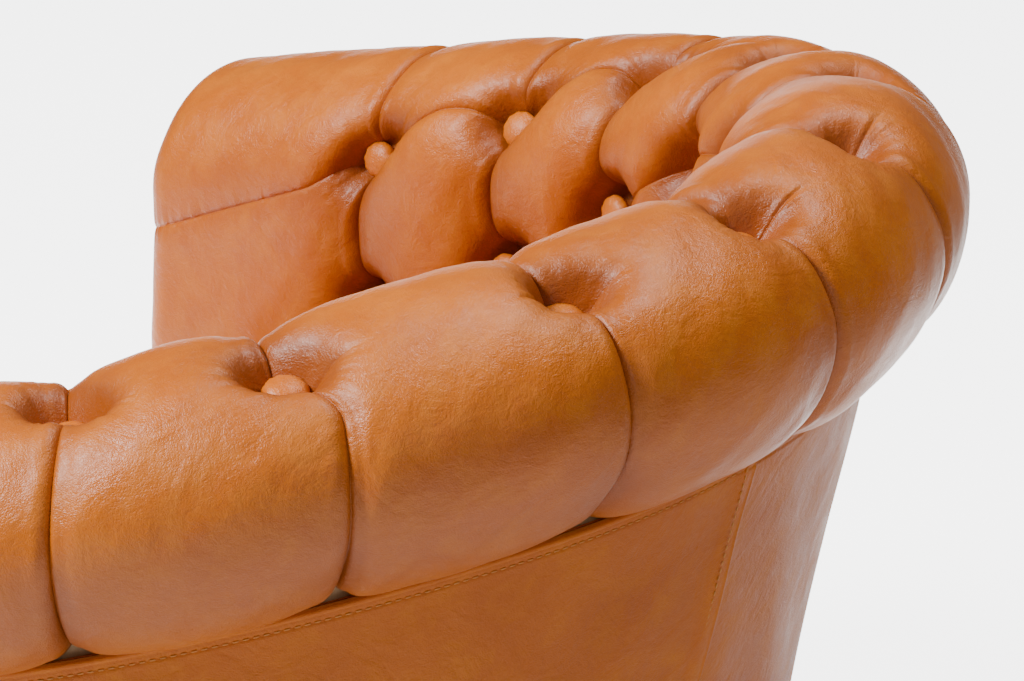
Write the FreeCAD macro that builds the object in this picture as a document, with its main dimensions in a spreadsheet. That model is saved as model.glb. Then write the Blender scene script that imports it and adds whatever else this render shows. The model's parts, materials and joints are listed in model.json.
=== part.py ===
import FreeCAD, Part
import Sketcher
import math
import os

# Tub armchair with a deep-buttoned rolled top, in millimetres.
# The chair faces -Y, +Z is up, and the origin is on the floor below the middle of its box.
# The rolled top follows one plan line: a half circle round the back, then a straight arm each side.

V = FreeCAD.Vector
doc = FreeCAD.newDocument("TubArmchair")

# ---------------------------------------------------------------- driving dimensions
sheet = doc.addObject("Spreadsheet::Sheet", "Dimensions")
DIMENSIONS = [
    ("planrad", 390, "radius of the roll's centre line round the back"),
    ("armlen", 285, "straight length of each arm's frame"),
    ("armfront", 45, "thickness of the padded arm front"),
    ("rollrad", 80, "radius of the rolled top"),
    ("crest", 770, "height of the roll at the back"),
    ("armslope", 0.27, "fall of the roll per unit of length"),
    ("slopestart", 220, "distance from the back's middle where the fall begins"),
    ("slopeblend", 75, "softness of that change"),
    ("yarc", -70, "y of the half circle's centre"),
    ("backrake", 0.25, "slope of the outside of the back"),
    ("innerrake", 0.15, "slope of the inside of the back"),
    ("armrake", 0.05, "slope of the arms' sides"),
    ("panelout", 24, "outside panel, outward from the roll's centre line"),
    ("paneltop", 78.5, "outside panel's top edge below the roll's centre"),
    ("leather", 3, "thickness of a backed outside panel"),
    ("railwood", 26, "thickness of the frame's hardwood"),
    ("railhalfx", 391, "half width of the seat frame"),
    ("raildeep", 288, "depth of the seat frame behind the half circle's centre"),
    ("railbase", 180, "underside of the seat frame"),
    ("railtop", 280, "top of the seat frame"),
    ("wirerad", 1.8, "radius of the zigzag spring wire"),
    ("decktop", 293, "top of the seat deck"),
    ("seatinset", 82, "inside pad, inward from the roll's centre line"),
    ("seathalf", 292, "half width of the loose cushion"),
    ("seatdeep", 250, "depth of the cushion behind the half circle's centre"),
    ("seatthick", 118, "thickness of the loose cushion"),
    ("btnrad", 12, "radius of a covered button"),
    ("rowgap", 114, "distance between two rows of buttons, along the padding"),
    ("legtop", 27, "radius of a leg at its top"),
    ("legfoot", 17, "radius of a leg at its foot"),
    ("boltrad", 4, "radius of a leg bolt"),
]
for row, (alias, value, note) in enumerate(DIMENSIONS, start=1):
    sheet.set("A%d" % row, note)
    sheet.set("B%d" % row, str(value))
    sheet.setAlias("B%d" % row, alias)
doc.recompute()
D = {alias: float(sheet.get(alias)) for alias, value, note in DIMENSIONS}

ARC = D["planrad"] * math.pi / 2
ARM_END = ARC + D["armlen"]
FRONT_Y = D["yarc"] - D["armlen"] - D["armfront"]
FRAME_Y = D["yarc"] - D["armlen"]
CLEAR = 0.4
subparts = []


def keep(obj, label):
    """Name a finished sub-part, which also names its file."""
    obj.Label = label
    subparts.append(obj)
    return obj


def feature(label, shape):
    """A sub-part whose shape is made with Part's own functions."""
    obj = doc.addObject("Part::Feature", label)
    obj.Shape = shape
    obj.Placement = FreeCAD.Placement()
    return keep(obj, label)


# ---------------------------------------------------------------- the plan line
def drop(dist):
    """How far the roll has come down at a distance from the back's middle."""
    w, start = D["slopeblend"], D["slopestart"]
    soft = w * (math.log1p(math.exp((dist - start) / w)) - math.log1p(math.exp(-start / w)))
    return D["armslope"] * soft


class Station:
    """A vertical cross-section plane of the tub; side is +1 or -1 along X."""

    def __init__(self, dist, side=1):
        self.turn = min(dist / D["planrad"], math.pi / 2)
        beyond = max(dist - ARC, 0)
        self.x = side * D["planrad"] * math.sin(self.turn)
        self.y = D["yarc"] + D["planrad"] * math.cos(self.turn) - beyond
        self.out = V(side * math.sin(self.turn), math.cos(self.turn), 0)
        self.along = V(self.out.y, -self.out.x, 0)
        self.height = D["crest"] - D["rollrad"] - drop(dist)
        behind = math.cos(self.turn) ** 2
        self.rake = D["armrake"] + (D["backrake"] - D["armrake"]) * behind
        self.inner_rake = D["armrake"] + (D["innerrake"] - D["armrake"]) * behind

    def at(self, outward, height):
        """The point at an outward offset and a height above the floor."""
        return V(self.x, self.y, 0) + self.out * outward + V(0, 0, height)

    def circle(self, radius, rise=0):
        """A round outline about the roll's centre, as two half circles from its lowest point."""
        middle = self.height + rise
        low, high = self.at(0, middle - radius), self.at(0, middle + radius)
        outer = Part.Arc(low, self.at(radius, middle), high).toShape()
        inner = Part.Arc(high, self.at(-radius, middle), low).toShape()
        return Part.Wire([outer, inner])

    def outline(self, points):
        corners = [self.at(o, z) for o, z in points]
        return Part.makePolygon(corners + corners[:1])

    def panel_offset(self, z):
        """Outward offset of the outside panel's face at height z."""
        return D["panelout"] - self.rake * max(self.height - D["paneltop"] - z, 0)

    def inner_offset(self, z):
        """Outward offset of the inside pad's face at height z."""
        return -D["seatinset"] - self.inner_rake * max(self.height - PAD_TOP - z, 0)

    def rail_offset(self):
        """Outward offset of the seat frame's middle, from the two half ellipses that shape it."""
        a = D["railhalfx"] - D["railwood"] / 2
        b = D["raildeep"] - D["railwood"] / 2
        c, s = math.cos(self.turn), math.sin(self.turn)
        return 1 / math.sqrt((s / a) ** 2 + (c / b) ** 2) - D["planrad"]

    def post_offset(self, z):
        """Outward offset of a post's middle at height z, from the seat frame to the top rail."""
        share = (z - D["railtop"]) / (self.rail_under() - D["railtop"])
        return self.rail_offset() + share * (TOP_RAIL_MIDDLE - self.rail_offset())

    def rail_under(self):
        return self.height - TOP_RAIL_BELOW


PAD_TOP = 42.0             # top of the inside pads below the roll's centre
TOP_RAIL_MIDDLE = 6.0      # outward offset of the top rail's middle
TOP_RAIL_BELOW = 76.0      # its underside below the roll's centre
TOP_RAIL_UPPER = 20.0      # its top below the roll's centre


def loft(wires):
    return Part.makeLoft(wires, True, False)


def spread(first, last, count):
    return [first + (last - first) * i / (count - 1) for i in range(count)]


# The upholstery is sewn from five fields: two arms, two corners and the back.
CORNER = math.radians(66.5) * D["planrad"]
BACK = math.radians(29.4) * D["planrad"]
ARM_STEPS = spread(CORNER, ARC, 4) + spread(ARC, ARM_END, 4)[1:]
FIELDS = [
    ("arm_right", [(d, 1) for d in ARM_STEPS]),
    ("corner_right", [(d, 1) for d in spread(BACK, CORNER, 4)]),
    ("back", [(BACK, -1), (BACK / 2, -1), (0, 1), (BACK / 2, 1), (BACK, 1)]),
    ("corner_left", [(d, -1) for d in spread(BACK, CORNER, 4)]),
    ("arm_left", [(d, -1) for d in ARM_STEPS]),
]


# ---------------------------------------------------------------- buttons
BUTTON_SEAT = 50.0         # distance of a top-row button from the roll's centre
BUTTON_CROWN = 6.5         # height of a button above its flat back
BUTTON_SINK = 24.0         # how deep the lower rows sit in the inside padding
TOP_ROW_DISTANCES = (0, 132, 286, 397, 511, 626, 742)
TOP_ROW_LEAN = (-12, -12, -12, 2, 31, 58, 75)      # degrees, turned from upright toward the seat


class ButtonPlace:
    """Where one covered button sits: its seat in the padding and the way it faces."""

    def __init__(self, station, outward, height, face):
        self.seat = station.at(outward, height)
        self.face = (station.out * face[0] + V(0, 0, face[1])).normalize()
        self.station = station


def button_station(index):
    return Station(TOP_ROW_DISTANCES[abs(index)], 1 if index >= 0 else -1)


def top_button(index):
    """A button of the top row: upright round the back, and turned inward on the arms."""
    place = button_station(index)
    lean = math.radians(TOP_ROW_LEAN[abs(index)])
    face = (-math.sin(lean), math.cos(lean))
    return ButtonPlace(place, BUTTON_SEAT * face[0], place.height + BUTTON_SEAT * face[1], face)


def lower_button(index, row):
    """A button of a lower row: each row is one gap further round the roll and down the inside."""
    place = button_station(index)
    along = D["rollrad"] * math.radians(TOP_ROW_LEAN[abs(index)]) + row * D["rowgap"]
    lean = along / D["rollrad"]
    if lean < math.pi / 2:
        face = (-math.sin(lean), math.cos(lean))
        return ButtonPlace(place, BUTTON_SEAT * face[0], place.height + BUTTON_SEAT * face[1], face)
    z = place.height - D["rollrad"] * (lean - math.pi / 2)
    return ButtonPlace(place, place.inner_offset(z) + BUTTON_SINK, z, (-1, place.inner_rake))


TOP_ROW = [top_button(i) for i in range(-6, 7)]
SECOND_ROW = [lower_button(i, 1) for i in range(-6, 7)]
THIRD_ROW = [lower_button(i, 2) for i in range(-4, 5)]


def button_solid(place):
    """A covered button: a round block with a flat back and a well rounded crown."""
    block = Part.makeCylinder(D["btnrad"], BUTTON_CROWN)
    rim = [e for e in block.Edges if e.BoundBox.ZMin > BUTTON_CROWN - 0.01]
    rounded = block.makeFillet(BUTTON_CROWN * 0.8, rim)
    rounded.Placement = FreeCAD.Placement(place.seat, FreeCAD.Rotation(V(0, 0, 1), place.face))
    return rounded


def dimple(place, depth):
    """The cone of padding that a button pulls in, open to the surface."""
    narrow = D["btnrad"] + 1.0
    return Part.makeCone(narrow, narrow + depth * 0.6, depth, place.seat, place.face)


DIMPLE = 48.0              # depth of the hollow over a button
TIE_RADIUS = 1.0


def tie_rod(place, end, radius):
    """Twine from the back of a button, cut square on the button's own axis where it starts."""
    start = place.seat
    way = end - start
    return Part.makeCylinder(radius, way.Length, start, way)


def tie_end(place):
    """Where a button's twine is fixed: on the top rail, or at the back of the inside padding."""
    station = place.station
    if place.face.z > 0.75:
        return station.at(TOP_RAIL_MIDDLE, station.height - TOP_RAIL_UPPER + CLEAR)
    z = min(place.seat.z, station.height - TOP_RAIL_UPPER - 6)
    if z > station.rail_under() + 4:
        return station.at(TOP_RAIL_MIDDLE - D["railwood"] / 2 - CLEAR, z)
    return station.at(station.post_offset(z) - D["railwood"] / 2 - PAD_BEHIND, z)


PAD_BEHIND = 9.5           # room for the webbing between the posts and the inside pads


# ---------------------------------------------------------------- rolled top and inside padding
def inside_section(station):
    """Inside pad: from under the roll down to the seat deck, in front of the webbing."""
    low = D["decktop"] + 2
    high = station.height - PAD_TOP
    behind = D["railwood"] / 2 + PAD_BEHIND
    return station.outline([
        (station.inner_offset(low), low),
        (station.inner_offset(high), high),
        (TOP_RAIL_MIDDLE - behind, station.height - TOP_RAIL_BELOW + 6),
        (station.post_offset(low) - behind, low),
    ])


def rail_slot(station):
    """The space that the top rail fills in the underside of the roll."""
    half = D["railwood"] / 2 + CLEAR
    top = station.height - TOP_RAIL_UPPER + CLEAR
    low = station.height - D["rollrad"] - 8
    return station.outline([
        (TOP_RAIL_MIDDLE - half, low),
        (TOP_RAIL_MIDDLE - half, top),
        (TOP_RAIL_MIDDLE + half, top),
        (TOP_RAIL_MIDDLE + half, low),
    ])


def near_field(place, stations):
    """Whether a button's dimple can reach this field."""
    return any((place.seat - s.at(0, place.seat.z)).Length < 190 for s in stations)


ALL_BUTTONS = TOP_ROW + SECOND_ROW + THIRD_ROW
for field, steps in FIELDS:
    stations = [Station(dist, side) for dist, side in steps]
    roll = loft([s.circle(D["rollrad"]) for s in stations])
    sockets = []
    for place in ALL_BUTTONS:
        if near_field(place, stations):
            sockets.append(dimple(place, DIMPLE))
            sockets.append(tie_rod(place, tie_end(place), TIE_RADIUS + 0.3))
    feature("roll_" + field, roll.cut([loft([rail_slot(s) for s in stations])] + sockets))

    pad = loft([inside_section(s) for s in stations])
    below_roll = loft([s.circle(D["rollrad"] + CLEAR) for s in stations])
    feature("inside_pad_" + field, pad.cut([below_roll] + sockets))

feature("buttons_top_row", Part.makeCompound([button_solid(p) for p in TOP_ROW]))
feature("buttons_second_row", Part.makeCompound([button_solid(p) for p in SECOND_ROW]))
feature("buttons_third_row", Part.makeCompound([button_solid(p) for p in THIRD_ROW]))


def tie_solid(place, end):
    way = (end - place.seat).normalize()
    shifted = place.seat + way * 0.6
    return Part.makeCylinder(TIE_RADIUS, (end - shifted).Length - 0.4, shifted, way)


feature("button_ties_top", Part.makeCompound([tie_solid(p, tie_end(p)) for p in TOP_ROW]))
feature("button_ties_lower", Part.makeCompound([tie_solid(p, tie_end(p)) for p in SECOND_ROW + THIRD_ROW]))


# ---------------------------------------------------------------- outside panels and arm fronts
PANEL_BASE = D["railbase"] - 4


def panel_section(station):
    """Outside panel: a raked strip of backed leather with its top edge tucked under the roll."""
    top = station.height - D["paneltop"]
    skin = D["leather"]
    return station.outline([
        (station.panel_offset(PANEL_BASE) - skin, PANEL_BASE),
        (station.panel_offset(PANEL_BASE), PANEL_BASE),
        (D["panelout"], top),
        (D["panelout"] - skin, top),
    ])


SEAM_GAP = 0.3
panel_steps = spread(SEAM_GAP, ARC, 8) + spread(ARC, ARM_END, 3)[1:]
feature("outside_panel_right", loft([panel_section(Station(d, 1)) for d in panel_steps]))
feature("outside_panel_left", loft([panel_section(Station(d, -1)) for d in panel_steps]))


def arm_front(side):
    """Padded arm front: the roll and the wall below it, rounded over at the front."""
    solids = []
    for inset, ahead in ((0.0, CLEAR), (0.0, 24.0), (9.0, 38.0), (24.0, D["armfront"])):
        station = Station(ARM_END + ahead, side)
        top = station.height - inset * 0.4
        circle = station.circle(D["rollrad"] - inset, -inset * 0.4)
        inner = station.inner_offset(PANEL_BASE) + inset * 0.8
        outer = station.panel_offset(PANEL_BASE) - inset * 0.8
        wall = station.outline([
            (inner, PANEL_BASE),
            (-D["seatinset"] + inset * 0.8, top - PAD_TOP),
            (D["panelout"] - inset * 0.8, top - PAD_TOP),
            (outer, PANEL_BASE),
        ])
        solids.append((circle, wall))
    rolled = loft([pair[0] for pair in solids])
    wall = loft([pair[1] for pair in solids])
    return rolled.fuse(wall).removeSplitter()


feature("arm_front_right", arm_front(1))
feature("arm_front_left", arm_front(-1))


# ---------------------------------------------------------------- hardwood frame
def top_rail_section(station):
    half = D["railwood"] / 2
    low = station.rail_under()
    high = station.height - TOP_RAIL_UPPER
    return station.outline([
        (TOP_RAIL_MIDDLE - half, low),
        (TOP_RAIL_MIDDLE - half, high),
        (TOP_RAIL_MIDDLE + half, high),
        (TOP_RAIL_MIDDLE + half, low),
    ])


feature("top_rail_right", loft([top_rail_section(Station(d, 1)) for d in (ARC + 0.2, ARM_END - 2)]))
feature("top_rail_left", loft([top_rail_section(Station(d, -1)) for d in (ARC + 0.2, ARM_END - 2)]))
arc_steps = [(d, -1) for d in spread(ARC, ARC / 6, 6)] + [(0, 1)] + [(d, 1) for d in spread(ARC / 6, ARC, 6)]
feature("top_rail_back", loft([top_rail_section(Station(d, s)) for d, s in arc_steps]))

POST_WIDTH = 46.0


def post(dist, side, spare=0.0):
    """A leaning post between the seat frame and the top rail, or the room it needs."""
    station = Station(dist, side)
    wires = []
    for z in (D["railtop"], station.rail_under() - 9):
        middle = station.at(station.post_offset(z), z)
        across = station.along * (POST_WIDTH / 2 + spare)
        deep = station.out * (D["railwood"] / 2 + spare)
        corners = [middle + across + deep, middle + across - deep,
                   middle - across - deep, middle - across + deep]
        wires.append(Part.makePolygon(corners + corners[:1]))
    return Part.makeLoft(wires, True, True)


POSTS = [
    ("post_arm_front_right", ARM_END - 26, 1),
    ("post_arm_rear_right", ARC - 30, 1),
    ("post_back_right", ARC * 0.45, 1),
    ("post_back_left", ARC * 0.45, -1),
    ("post_arm_rear_left", ARC - 30, -1),
    ("post_arm_front_left", ARM_END - 26, -1),
]
for label, dist, side in POSTS:
    feature(label, post(dist, side))


def box(label, length, width, height, place):
    """A Part box whose three sizes and corner are bound to the sheet."""
    obj = doc.addObject("Part::Box", label)
    obj.setExpression("Length", length)
    obj.setExpression("Width", width)
    obj.setExpression("Height", height)
    for axis, text in zip(("x", "y", "z"), place):
        obj.setExpression("Placement.Base." + axis, text)
    return keep(obj, label)


box("seat_rail_front", "2 * (Dimensions.railhalfx - Dimensions.railwood)", "Dimensions.railwood",
    "Dimensions.railtop - Dimensions.railbase",
    ("Dimensions.railwood - Dimensions.railhalfx", "Dimensions.yarc - Dimensions.armlen + 2",
     "Dimensions.railbase"))
box("seat_rail_right", "Dimensions.railwood", "Dimensions.armlen - 2",
    "Dimensions.railtop - Dimensions.railbase",
    ("Dimensions.railhalfx - Dimensions.railwood", "Dimensions.yarc - Dimensions.armlen + 2",
     "Dimensions.railbase"))
box("seat_rail_left", "Dimensions.railwood", "Dimensions.armlen - 2",
    "Dimensions.railtop - Dimensions.railbase",
    ("-Dimensions.railhalfx", "Dimensions.yarc - Dimensions.armlen + 2", "Dimensions.railbase"))


def half_ellipse_solid(half, deep, low, high, front=None):
    """A D in plan: half an ellipse behind the arc's centre, and straight sides to a front line."""
    ellipse = Part.Ellipse(V(0, 0, 0), max(half, deep), min(half, deep))
    curve = Part.ArcOfEllipse(ellipse, 0, math.pi).toShape()
    curve.translate(V(0, D["yarc"], low))
    left = V(-half, D["yarc"], low)
    right = V(half, D["yarc"], low)
    if front is None:
        edges = [curve, Part.makeLine(left, right)]
    else:
        near_left = V(-half, front, low)
        near_right = V(half, front, low)
        edges = [curve, Part.makeLine(left, near_left), Part.makeLine(near_left, near_right),
                 Part.makeLine(near_right, right)]
    wire = Part.Wire(Part.__sortEdges__(edges))
    return Part.Face(wire).extrude(V(0, 0, high - low))


inside_half = D["railhalfx"] - D["railwood"]
inside_deep = D["raildeep"] - D["railwood"]
rail_outer = half_ellipse_solid(D["railhalfx"], D["raildeep"], D["railbase"], D["railtop"])
rail_inner = half_ellipse_solid(inside_half, inside_deep, D["railbase"] - 1, D["railtop"] + 1)
feature("seat_rail_back", rail_outer.cut(rail_inner))

BLOCK = 62.0
LEGS = {
    "front_right": V(inside_half - 33, FRAME_Y + 2 + D["railwood"] + 33, 0),
    "front_left": V(33 - inside_half, FRAME_Y + 2 + D["railwood"] + 33, 0),
    "back_right": V(190, D["yarc"] + 178, 0),
    "back_left": V(-190, D["yarc"] + 178, 0),
}


def fastener_bore(place, radius):
    return Part.makeCylinder(radius, BOLT_LENGTH, place + V(0, 0, BOLT_LOW))


BOLT_LENGTH = 76.0
BOLT_LOW = D["railbase"] - 38
frame_inside = half_ellipse_solid(inside_half - 0.1, inside_deep - 0.1, D["railbase"],
                                  D["railbase"] + BLOCK, FRAME_Y + 2 + D["railwood"])
for where, place in LEGS.items():
    block = Part.makeBox(BLOCK, BLOCK, BLOCK - 6, place + V(-BLOCK / 2 - 2, -BLOCK / 2 - 2, D["railbase"]))
    if where.startswith("front"):
        toward = 1 if place.x > 0 else -1
        corner = V(place.x + toward * 33 - (BLOCK if toward > 0 else 0), FRAME_Y + 2 + D["railwood"], 0)
        block = Part.makeBox(BLOCK, BLOCK, BLOCK - 6, corner + V(0, 0, D["railbase"]))
    else:
        turned = FreeCAD.Rotation(V(0, 0, 1), math.degrees(math.atan2(place.x, -(place.y - D["yarc"]))))
        block = Part.makeBox(BLOCK * 1.5, BLOCK, BLOCK - 6, V(-BLOCK * 0.75, -BLOCK / 2, 0))
        block.Placement = FreeCAD.Placement(place + V(0, 0, D["railbase"]), turned)
        block = block.common(frame_inside)
    feature("corner_block_" + where, block.cut(fastener_bore(place, D["boltrad"] + 0.1)))


# ---------------------------------------------------------------- legs
def turned_leg(label, place):
    """A tapered round leg with a bead below its top: a revolved sketch."""
    body = doc.addObject("PartDesign::Body", label + "_body")
    sketch = body.newObject("Sketcher::SketchObject", label + "_sketch")
    plane = next(f for f in body.Origin.OriginFeatures if f.Role == "XZ_Plane")
    sketch.AttachmentSupport = [(plane, "")]
    sketch.MapMode = "FlatFace"
    high = D["railbase"]
    points = [(0, 4), (D["legfoot"], 4), (D["legfoot"] + 1.5, 12), (D["legtop"] - 5, high - 34),
              (D["legtop"], high - 26), (D["legtop"], high - 14), (D["legtop"] - 3, high - 8),
              (D["legtop"] - 3, high), (0, high)]
    for a, b in zip(points, points[1:] + points[:1]):
        sketch.addGeometry(Part.LineSegment(V(a[0], a[1], 0), V(b[0], b[1], 0)), False)
    for i in range(len(points)):
        sketch.addConstraint(Sketcher.Constraint("Coincident", i, 2, (i + 1) % len(points), 1))
    sketch.addConstraint(Sketcher.Constraint("PointOnObject", 0, 1, -2))
    sketch.addConstraint(Sketcher.Constraint("Vertical", len(points) - 1))
    for edge, height in ((1, "4"), (2, "12"), (3, "Dimensions.railbase - 34"),
                         (4, "Dimensions.railbase - 26"), (5, "Dimensions.railbase - 14"),
                         (6, "Dimensions.railbase - 8"), (7, "Dimensions.railbase")):
        datum = sketch.addConstraint(Sketcher.Constraint("DistanceY", -1, 1, edge, 2 if edge == 7 else 1,
                                                         points[edge if edge < 7 else 7][1]))
        sketch.setExpression("Constraints[%d]" % datum, height)
    for edge, radius in ((1, "Dimensions.legfoot"), (2, "Dimensions.legfoot + 1.5"),
                         (3, "Dimensions.legtop - 5"), (4, "Dimensions.legtop"),
                         (5, "Dimensions.legtop"), (6, "Dimensions.legtop - 3"),
                         (7, "Dimensions.legtop - 3")):
        datum = sketch.addConstraint(Sketcher.Constraint("DistanceX", -1, 1, edge, 1, points[edge][0]))
        sketch.setExpression("Constraints[%d]" % datum, radius)
    turned = body.newObject("PartDesign::Revolution", label + "_turning")
    turned.Profile = sketch
    turned.ReferenceAxis = (sketch, ["V_Axis"])
    turned.Angle = 360
    doc.recompute()
    return body


for where, place in LEGS.items():
    turned = turned_leg("leg_" + where, place)
    bore = doc.addObject("Part::Cylinder", "leg_bore_" + where)
    bore.setExpression("Radius", "Dimensions.boltrad + 0.1")
    bore.Height = BOLT_LENGTH
    bore.Placement.Base = V(0, 0, BOLT_LOW)
    leg = doc.addObject("Part::Cut", "leg_cut_" + where)
    leg.Base = turned
    leg.Tool = bore
    leg.Placement.Base = place
    keep(leg, "leg_" + where)

bolts = [Part.makeCylinder(D["boltrad"], BOLT_LENGTH - 1, p + V(0, 0, BOLT_LOW + 0.5)) for p in LEGS.values()]
feature("leg_bolts", Part.makeCompound(bolts))


def glide(place):
    """A domed nylon glide under a leg."""
    plate = Part.makeCylinder(D["legfoot"] - 2, 4, place)
    return plate.makeFillet(2, [plate.Edges[2]]) if len(plate.Edges) > 2 else plate


feature("glides", Part.makeCompound([glide(p) for p in LEGS.values()]))


# ---------------------------------------------------------------- seat: springs, deck and cushion
SPRING_Z = D["railtop"] + D["wirerad"] + 0.2
SPRING_PITCH = 26.0


def zigzag(x, front, back):
    """A flat zigzag spring: cross bars joined by half circles, from rail to rail."""
    r = SPRING_PITCH / 2
    reach = 17.0
    count = int((back - front) / SPRING_PITCH)
    start = front + ((back - front) - count * SPRING_PITCH) / 2
    edges = []
    side = 1
    y = start
    edges.append(Part.makeLine(V(x - reach, y, SPRING_Z), V(x + reach, y, SPRING_Z)))
    for _ in range(count):
        edge_x = x + side * reach
        a = V(edge_x, y, SPRING_Z)
        b = V(edge_x + side * r, y + r, SPRING_Z)
        c = V(edge_x, y + 2 * r, SPRING_Z)
        edges.append(Part.Arc(a, b, c).toShape())
        edges.append(Part.makeLine(c, V(x - side * reach, y + 2 * r, SPRING_Z)))
        side = -side
        y += 2 * r
    path = Part.Wire(edges)
    ring = Part.Wire(Part.Circle(V(x - reach, start, SPRING_Z), V(1, 0, 0), D["wirerad"]).toShape())
    return path.makePipeShell([ring], True, True), start, y


SPRING_X = (-250, -125, 0, 125, 250)
clips = []
for number, x in enumerate(SPRING_X, start=1):
    front = FRAME_Y + 2 + D["railwood"] / 2
    back = D["yarc"] + (inside_deep + 8) * math.sqrt(1 - (x / (inside_half + 8)) ** 2)
    spring, first, last = zigzag(x, front, back)
    feature("spring_%d" % number, spring)
    for y in (first, last):
        r = D["wirerad"]
        clip = Part.makeBox(14, 9, 2 * r + 1.4, V(x - 7, y - 4.5, D["railtop"]))
        hole = Part.makeBox(16, 2 * r + 0.4, 2 * r + 0.3, V(x - 8, y - r - 0.2, D["railtop"] - 0.1))
        clips.append(clip.cut(hole))
feature("spring_clips", Part.makeCompound(clips))

deck = half_ellipse_solid(D["railhalfx"] - 4, D["raildeep"] - 4, D["railtop"] + 7, D["decktop"], FRAME_Y + 4)
feature("seat_deck", deck.cut([post(dist, side, CLEAR) for label, dist, side in POSTS]))

cover = half_ellipse_solid(D["railhalfx"] - 4, D["raildeep"] - 4, D["railbase"] - 1.2, D["railbase"] - 0.2,
                           FRAME_Y + 4)
feature("dust_cover", cover.cut([Part.makeCylinder(D["legtop"] + 1, 10, p + V(0, 0, D["railbase"] - 6))
                                 for p in LEGS.values()]))

border = doc.addObject("Part::Box", "front_border_block")
border.setExpression("Length", "2 * (Dimensions.planrad - Dimensions.seatinset) - 34")
border.setExpression("Width", "Dimensions.armfront - 4")
border.setExpression("Height", "Dimensions.railtop - Dimensions.railbase + 8")
border.setExpression("Placement.Base.x", "17 - Dimensions.planrad + Dimensions.seatinset")
border.setExpression("Placement.Base.y", "Dimensions.yarc - Dimensions.armlen - Dimensions.armfront + 4")
border.setExpression("Placement.Base.z", "Dimensions.railbase - 4")
doc.recompute()
rounded = doc.addObject("Part::Fillet", "front_border_rounded")
rounded.Base = border
front_edges = [i for i, e in enumerate(border.Shape.Edges, start=1)
               if abs(e.CenterOfMass.y - border.Shape.BoundBox.YMin) < 0.1 and abs(e.CenterOfMass.x) < 1]
rounded.Edges = [(i, 12.0, 12.0) for i in front_edges]
keep(rounded, "front_border")

SEAT_LOW = D["decktop"] + 0.4
SEAT_HIGH = SEAT_LOW + D["seatthick"]
SEAT_FRONT = FRONT_Y + 40
SKIN = 2.0
shell = half_ellipse_solid(D["seathalf"], D["seatdeep"], SEAT_LOW + SKIN, SEAT_HIGH - SKIN, SEAT_FRONT)
core = half_ellipse_solid(D["seathalf"] - SKIN, D["seatdeep"] - SKIN, SEAT_LOW + SKIN, SEAT_HIGH - SKIN,
                          SEAT_FRONT + SKIN)
feature("cushion_core", core)
feature("cushion_band", shell.cut(core))
feature("cushion_top", half_ellipse_solid(D["seathalf"], D["seatdeep"], SEAT_HIGH - SKIN, SEAT_HIGH, SEAT_FRONT))
feature("cushion_bottom", half_ellipse_solid(D["seathalf"], D["seatdeep"], SEAT_LOW, SEAT_LOW + SKIN, SEAT_FRONT))


# ---------------------------------------------------------------- webbing behind the inside pads
def web_strip(dist, side):
    """A vertical strip of webbing in front of the posts' inner faces."""
    station = Station(dist, side)
    wires = []
    for z in (D["decktop"] + 6, station.rail_under() - 10):
        middle = station.at(station.post_offset(z) - D["railwood"] / 2 - 2.2, z)
        across = station.along * 24
        deep = station.out * 0.6
        corners = [middle + across + deep, middle + across - deep,
                   middle - across - deep, middle - across + deep]
        wires.append(Part.makePolygon(corners + corners[:1]))
    return Part.makeLoft(wires, True, True)


web_places = [(0, 1)] + [(ARC * share, side) for share in (0.2, 0.62, 0.78) for side in (1, -1)]
web_places += [(ARC + share * D["armlen"], side) for share in (0.2, 0.5) for side in (1, -1)]
feature("webbing_inside", Part.makeCompound([web_strip(d, s) for d, s in web_places]))

# ---------------------------------------------------------------- check and write
doc.recompute()
for obj in doc.Objects:
    if "Invalid" in obj.State or "Error" in obj.State:
        raise RuntimeError("%s is in state %s" % (obj.Label, obj.State))
for obj in subparts:
    if obj.Shape.isNull() or not obj.Shape.isValid():
        raise RuntimeError("%s has no valid shape" % obj.Label)
    if not obj.Shape.Solids or min(s.Volume for s in obj.Shape.Solids) <= 0:
        raise RuntimeError("%s is not solid" % obj.Label)

os.makedirs("parts", exist_ok=True)
for obj in subparts:
    obj.Shape.exportStep("parts/%s.step" % obj.Label)
    bb = obj.Shape.BoundBox
    print("%-24s %8.1f cm3  x %7.1f %7.1f  y %7.1f %7.1f  z %6.1f %6.1f  solids %d" % (
        obj.Label, obj.Shape.Volume / 1000, bb.XMin, bb.XMax, bb.YMin, bb.YMax, bb.ZMin, bb.ZMax,
        len(obj.Shape.Solids)))
print(len(subparts), "sub-parts")
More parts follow.
